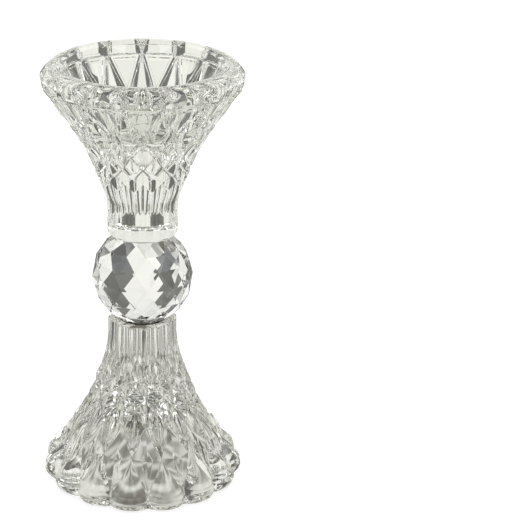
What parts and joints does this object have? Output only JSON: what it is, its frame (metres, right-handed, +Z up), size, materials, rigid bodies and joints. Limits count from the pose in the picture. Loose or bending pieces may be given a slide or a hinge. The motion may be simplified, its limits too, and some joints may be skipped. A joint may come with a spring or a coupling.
{
  "type": "candlestick",
  "caption": "Pressed clear-glass candlestick: flared fluted cup and petal foot, each bonded to a faceted crystal ball between them.",
  "frame": {"origin": "centre of the circle that the foot stands on, at the standing surface", "axes": "+Z up along the candlestick's own axis; -Y is the side turned to the viewer, +X to the viewer's right"},
  "size_m": [0.0805, 0.0804, 0.1723],
  "materials": {
    "pressed_glass": "clear soda-lime glass, fire-polished after pressing",
    "cut_crystal": "clear machine-cut crystal, polished facets",
    "clear_adhesive": "clear cured adhesive film"
  },
  "bodies": {
    "root": {"base": "pressed_glass", "lower_bond": "clear_adhesive", "ball": "cut_crystal", "upper_bond": "clear_adhesive", "cup": "pressed_glass"}
  },
  "joints": []
}
